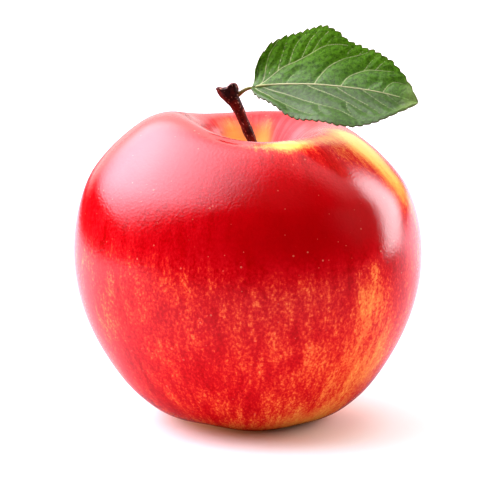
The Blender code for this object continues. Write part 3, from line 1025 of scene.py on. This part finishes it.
def blade_points(along, across, flat, relief):
    """The blade's points from their shares along it and out to either edge."""
    rib = along_line(midrib, along)
    heading = midrib[-1] - midrib[0]
    away = np.array(UP.cross(heading).normalized())
    up = np.array(UP)
    far = (across >= 0)[:, None]
    outwards = np.where(far, away * math.sin(FAR_LEAN) + up * math.cos(FAR_LEAN),
                        -away * math.cos(NEAR_DROOP) - up * math.sin(NEAR_DROOP))
    face = np.where(far, up * math.sin(FAR_LEAN) - away * math.cos(FAR_LEAN),
                    up * math.cos(NEAR_DROOP) - away * math.sin(NEAR_DROOP))
    out = np.abs(across)
    width = np.abs(flat[:, 1]) / np.maximum(out, 1e-6) * MM
    fullness = ease(width / FULL_WIDTH)
    edge_wave = EDGE_WAVE * np.sin(math.tau * EDGE_WAVES * along + across) * out ** 2
    cup = CUP * np.sin(math.pi * out)
    fold = FOLD_ROUND * np.clip(1 - out * width / FOLD_REACH, 0, 1) ** 2
    rise = fullness * (edge_wave - cup + fold) * MM + relief
    return rib + outwards * (out * width)[:, None] + face * rise[:, None]


print("teeth:", TEETH, "along either edge")

# %% Lay out the blade's grid
TOOTH_COLUMNS = 9
COLUMNS, ROWS = TEETH * TOOTH_COLUMNS + 1, 161

shape = bmesh.new()
bmesh.ops.create_grid(shape, x_segments=COLUMNS - 1, y_segments=ROWS - 1, size=0.5)
leaf = new_piece("leaf_blade", shape)
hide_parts("leaf")

grid = read_points(leaf.data)
along, across = grid[:, 0] + 0.5, grid[:, 1] * 2
width = np.where(across >= 0, FAR_WIDTH * np.interp(along, far_half[:, 0], far_half[:, 1]),
                 NEAR_WIDTH * np.interp(along, near_half[:, 0], near_half[:, 1]))
width += TOOTH_DEPTH * edge_teeth(along) * np.abs(across) ** 10 * ease(width / (2 * MM))
flat = np.stack([along * leaf_length, across * width, across * 0], 1) / MM
print("blade:", len(leaf.data.polygons), "faces on each side")

# %% [markdown]
# For each point numpy measures how far the nearest vein is, in mm. The green swells with that
# distance, and right on a vein the point is marked, so that the material can paint the vein.

# %% How near the veins are
VEIN_SEARCH = 3
FAR_FROM_VEINS = 9.0

nearest = np.full(len(grid), FAR_FROM_VEINS)
vein = np.zeros(len(grid))
for path, half in vein_paths():
    reach = np.ptp(path[:, 0]) / 2 + VEIN_SEARCH
    close = np.where(np.abs(flat[:, 0] - path[:, 0].mean()) < reach)[0]
    apart = np.hypot(flat[close, 0, None] - path[None, :, 0], flat[close, 1, None] - path[None, :, 1])
    nearest[close] = np.minimum(nearest[close], apart.min(axis=1))
    vein[close] = np.maximum(vein[close], np.exp(-(apart / half) ** 2).max(axis=1))
nearest = np.minimum(nearest, np.abs(flat[:, 1]))
print("points on a vein:", int((vein > 0.5).sum()))

# %% Bend the grid into the blade
BULGE, BULGE_REACH = 0.3 * MM, 1.1
CRINKLE, CRINKLE_SIZE = 0.05 * MM, 0.9 * MM
RIM_WIDTH = 0.5 * MM
BLADE_THICKNESS = 0.34 * MM

quilt = 1 - np.exp(-(nearest / BULGE_REACH) ** 2)
relief = BULGE * quilt * ease((1 - np.abs(across)) / 0.12)
relief += CRINKLE * lumps(flat * MM, CRINKLE_SIZE, 2)
write_points(leaf.data, blade_points(along, across, flat, relief))
write_layer(leaf.data, "flat", flat * MM)
write_layer(leaf.data, "vein", vein)
write_layer(leaf.data, "rim", ease((np.abs(across) * width - width + RIM_WIDTH) / RIM_WIDTH))

wall = leaf.modifiers.new("thickness", "SOLIDIFY")
wall.thickness = BLADE_THICKNESS
wall.offset = 0
wall.material_offset = 1
print("blade bulges by up to", round(float(relief.max() / MM), 2), "mm")

# %% [markdown]
# ## Leaf green
# The upper side is a vivid green that pales along the veins. Between them runs a net of the
# finest veins, which a pattern of cells gives: its walls are thin lines that join up as
# those veins do. The near half is painted darker than the far one, as painted shade, and it has
# more of a shine. The tip is pale. The underside is paler, greyer and more matt. Both faces share
# one recipe, with other colours, because it is the same leaf.

# %% The leaf's two sides
NEAR_HALF_PAINTED_SHADE = "1E2C0C"
LEAF_TIP = "86A04C"
VEIN_NET = ((1.5 * MM, 0.09), (0.6 * MM, 0.13))
LEAF_BUMP = 0.05 * MM


def leaf_side(name, deep, fresh, net_pale, vein_pale, rim, roughness):
    """A leaf's surface: mottled green, veins from the attribute, and a net between them."""
    material, tree, shader = new_material(name, Roughness=roughness)
    flat_of = add_node(tree, "Attribute", attribute_name="flat").outputs["Vector"]
    run, out, _ = add_node(tree, "SeparateXYZ", {"Vector": flat_of}).outputs
    feed(tree, shader.inputs["Specular IOR Level"], step(tree, out, -1 * MM, 9 * MM, 0.28, 0.03))
    vein_of = add_node(tree, "Attribute", attribute_name="vein").outputs["Fac"]
    rim_of = add_node(tree, "Attribute", attribute_name="rim").outputs["Fac"]
    net = None
    for size, width in VEIN_NET:
        cells = add_node(tree, "TexVoronoi", {"Vector": flat_of, "Scale": 1 / size},
                         feature="DISTANCE_TO_EDGE").outputs["Distance"]
        line = step(tree, cells, 0.0, width, 1, 0)
        net = line if net is None else sums(tree, "MAXIMUM", net, sums(tree, "MULTIPLY", line, 0.6))
    mottle = grains(tree, flat_of, 0.9 * MM, (1, 1, 1), 4, 0.65)
    green = mixed(tree, step(tree, mottle, 0.36, 0.64), colour(deep), colour(fresh))
    green = mixed(tree, sums(tree, "MULTIPLY", net, 0.4), green, colour(net_pale))
    # painted shade: the near half of the blade is darkened
    green = mixed(tree, step(tree, out, -3 * MM, 3 * MM, 0.45, 0), green, colour(NEAR_HALF_PAINTED_SHADE))
    green = mixed(tree, step(tree, run, 34 * MM, 40 * MM, 0, 0.5), green, colour(LEAF_TIP))
    green = mixed(tree, sums(tree, "MULTIPLY", vein_of, 0.8), green, colour(vein_pale))
    green = mixed(tree, sums(tree, "MULTIPLY", rim_of, 0.45), green, colour(rim))
    feed(tree, shader.inputs["Base Color"], green)
    sunk = sums(tree, "MULTIPLY_ADD", net, -0.5, grains(tree, flat_of, 0.25 * MM, (1, 1, 1), 2))
    bump(tree, shader, sunk, LEAF_BUMP)
    return material


leaf.data.materials.append(leaf_side("leaf above", "2A4C03", "457A0A", "5C8C22", "C4CA92", "3F3F12", 0.5))
leaf.data.materials.append(leaf_side("leaf below", "4F6E3A", "62824A", "87A066", "A9B888", "4F4E24", 0.6))
print("leaf:", ", ".join(material.name for material in leaf.data.materials))

# %% [markdown]
# A fresh leaf is thin and lets light through, and a studio lights the fruit from many sides, so
# hardly any shadow of the leaf shows on the fruit. Here it throws none.

# %% Let the light past the leaf
leaf.visible_shadow = False
print("leaf throws a shadow:", leaf.visible_shadow)

# %% [markdown]
# ## Stalk and midrib
# The leaf's stalk runs on as its midrib, which lies along the fold as a pale line and thins out
# towards the tip. It is spun and bent in the same way as the stem, and it is set just above the
# blade, so that it catches the light there.

# %% Spin the stalk
STALK_STEPS = 20
STALK_RINGS = 150

stalk_line = [(0, 0, 0)] + [(1, 0, ring / STALK_RINGS) for ring in range(STALK_RINGS + 1)] + [(0, 0, 1)]
stalk = new_piece("stalk_and_midrib", spun(stalk_line, STALK_STEPS))
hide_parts("leaf")
print("stalk:", len(stalk.data.polygons), "faces")

# %% Its way along the fold
STALK_STATIONS = ((-2.6, 0, 75.45), (-1.9, 0, 75.9), (-0.6, 0, 76.8))
RIB_END = 0.97

rib_route = [Vector(station) * MM for station in STALK_STATIONS + MIDRIB_STATIONS]
rib_route = smooth_line(rib_route, 0.2 * MM)
rib_route = rib_route[:round(len(rib_route) * RIB_END)]
bar = read_points(stalk.data)
share = bar[:, 2]
turn = np.arctan2(bar[:, 1], bar[:, 0])
out = np.hypot(bar[:, 0], bar[:, 1])
middle = along_line(rib_route, share)
ahead = along_line(rib_route, share + 0.01) - along_line(rib_route, share - 0.01)
ahead /= np.linalg.norm(ahead, axis=1)[:, None]
sideways = np.cross(ahead, np.array(UP))
sideways /= np.linalg.norm(sideways, axis=1)[:, None]
upwards = np.cross(sideways, ahead)
print("rib's way:", len(rib_route), "points")

# %% Bend it and set it on the blade
RIB_RADII = ((0, 0.65), (0.03, 0.5), (0.08, 0.4), (0.2, 0.26), (0.6, 0.19), (1, 0.1))
RIB_ABOVE = np.array((0, -0.34, 0.36))
STALK_LENGTH = 44 * MM

radius = np.interp(share, *zip(*RIB_RADII)) * MM * out
along = np.interp(middle[:, 0], [point.x for point in midrib], np.linspace(0, 1, len(midrib)))
width = FAR_WIDTH * np.interp(along, far_half[:, 0], far_half[:, 1])
above = ease(width / FULL_WIDTH) * ease((middle[:, 0] - midrib[0].x) / (2 * MM)) * MM
points = middle + sideways * (radius * np.cos(turn))[:, None] + upwards * (radius * np.sin(turn))[:, None]
points += RIB_ABOVE * above[:, None]
write_points(stalk.data, points)
grain = np.stack([np.cos(turn) * 0.5 * MM, np.sin(turn) * 0.5 * MM, share * STALK_LENGTH], 1)
write_layer(stalk.data, "grain", grain)
print("stalk's thickest:", 2 * RIB_RADII[0][1], "mm")

# %% [markdown]
# The stalk is brown where it leaves the stem, green further out and pale along the blade, with
# fine fibres along its length.

# %% Stalk green
STALK_BROWN = "665420"
STALK_GREEN = "879A3E"
RIB_PALE = "B9BE86"
RIB_FIBRE = "6E7A2C"

stalk_skin, tree, shader = new_material("stalk green", Roughness=0.5, IOR=1.42)
grain_of = add_node(tree, "Attribute", attribute_name="grain").outputs["Vector"]
run = add_node(tree, "SeparateXYZ", {"Vector": grain_of}).outputs[2]
fibre = grains(tree, grain_of, 0.3 * MM, (1, 1, 0.15), 2)
young = mixed(tree, step(tree, run, 0.5 * MM, 6 * MM), colour(STALK_BROWN), colour(STALK_GREEN))
pale = mixed(tree, step(tree, run, 3 * MM, 12 * MM), young, colour(RIB_PALE))
pale = mixed(tree, step(tree, fibre, 0.3, 0.7, 0, 0.3), pale, colour(RIB_FIBRE))
feed(tree, shader.inputs["Base Color"], pale)
bump(tree, shader, fibre, 0.06 * MM)
stalk.data.materials.append(stalk_skin)
print("stalk green has", len(tree.nodes), "nodes")

# %% [markdown]
# ## The dry flower underneath
# In the basin below sit the remains of the blossom: five sepals, dry and curled, round a tuft of
# stamens. Hardly anyone looks there, but a fruit that is picked up shows it. Each sepal is a
# small grid that numpy narrows to a point and curls. The stamens are thin cones.

# %% The sepals
SEPALS = 5
FIRST_SEPAL = math.radians(200)
SEPAL_COLUMNS, SEPAL_ROWS = 8, 18
SEPAL_THICKNESS = 0.22 * MM


def sepal_point(side, run, k):
    """Where a point of sepal k lies: it tapers, reaches out and back, and curls down at its tip."""
    half = 1.15 * (1 - run ** 1.7) + 0.06
    reach = 0.7 + 3.1 * math.sin(run * 1.35 + 0.1 * k) ** 0.9 - 0.9 * run ** 4
    height = 5.9 - 0.35 * run - 2.3 * run ** 2.2 + 0.45 * side * side * (1 - run)
    wrinkle = 0.12 * noise.noise(Vector((side * 2, run * 6, k * 3.1)))
    return Vector((reach, side * half, height + wrinkle)) * MM


shape = bmesh.new()
for k in range(SEPALS):
    turned_by = Matrix.Rotation(FIRST_SEPAL + k * math.tau / SEPALS, 4, "Z")
    made = bmesh.ops.create_grid(shape, x_segments=SEPAL_COLUMNS, y_segments=SEPAL_ROWS, size=0.5)
    for vert in made["verts"]:
        vert.co = turned_by @ sepal_point(vert.co.x * 2, vert.co.y + 0.5, k)
bmesh.ops.translate(shape, verts=shape.verts, vec=(FRUIT_CENTRE_X, 0, 0))
sepals = new_piece("dry_sepals", shape)
wall = sepals.modifiers.new("thickness", "SOLIDIFY")
wall.thickness = SEPAL_THICKNESS
wall.offset = 0
print("sepals:", SEPALS)

# %% [markdown]
# The stamens hang from a small flat cup in the middle and thicken towards their free ends. Each
# is turned by nearly the golden angle from the one before, so no two lie in line.

# %% The stamens
STAMENS = 14
STAMEN_TURN = 2.4
STAMEN_END, STAMEN_ROOT = 0.16 * MM, 0.07 * MM
STAMEN_START = (0.25 * MM, 0, 6.0 * MM)
CUP_RADIUS, CUP_FLATNESS, CUP_HEIGHT = 1.3 * MM, 0.3, 5.8 * MM

shape = bmesh.new()
for k in range(STAMENS):
    lean = math.radians(10 + 16 * (k % 3))
    length = (1.7 + 0.5 * math.sin(k * 2.3)) * MM
    made = bmesh.ops.create_cone(shape, cap_ends=True, segments=8, radius1=STAMEN_END,
                                 radius2=STAMEN_ROOT, depth=length)["verts"]
    bmesh.ops.translate(shape, verts=made, vec=(0, 0, -length / 2))
    bmesh.ops.rotate(shape, verts=made, matrix=Matrix.Rotation(lean, 3, "Y"))
    bmesh.ops.translate(shape, verts=made, vec=STAMEN_START)
    bmesh.ops.rotate(shape, verts=made, matrix=Matrix.Rotation(k * STAMEN_TURN, 3, "Z"))
cup = bmesh.ops.create_uvsphere(shape, u_segments=20, v_segments=10, radius=CUP_RADIUS)["verts"]
bmesh.ops.scale(shape, verts=cup, vec=(1, 1, CUP_FLATNESS))
bmesh.ops.translate(shape, verts=cup, vec=(0, 0, CUP_HEIGHT))
bmesh.ops.translate(shape, verts=shape.verts, vec=(FRUIT_CENTRE_X, 0, 0))
stamens = new_piece("dry_stamens", shape)
print("stamens:", STAMENS)

# %% [markdown]
# All of it is one dull brown, mottled from dark to pale, with no shine left.

# %% Dry brown
DRY_DARK = "2E1B0D"
DRY_PALE = "7A5A34"

dry, tree, shader = new_material("dry brown sepals", Roughness=0.75, IOR=1.4)
place = add_node(tree, "TexCoord").outputs["Object"]
mottle = grains(tree, place, 0.8 * MM, (1, 1, 1), 3, 0.6)
brown = mixed(tree, step(tree, mottle, 0.35, 0.65), colour(DRY_DARK), colour(DRY_PALE))
feed(tree, shader.inputs["Base Color"], brown)
bump(tree, shader, grains(tree, place, 0.3 * MM, (1, 1, 1), 3), 0.1 * MM)
for piece in (sepals, stamens):
    piece.data.materials.append(dry)
    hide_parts("calyx")
print("dry brown on", len((sepals, stamens)), "pieces")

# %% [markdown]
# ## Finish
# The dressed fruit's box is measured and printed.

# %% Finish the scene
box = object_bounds()
print("dressed box:", [[round(v / MM, 1) for v in corner] for corner in box])
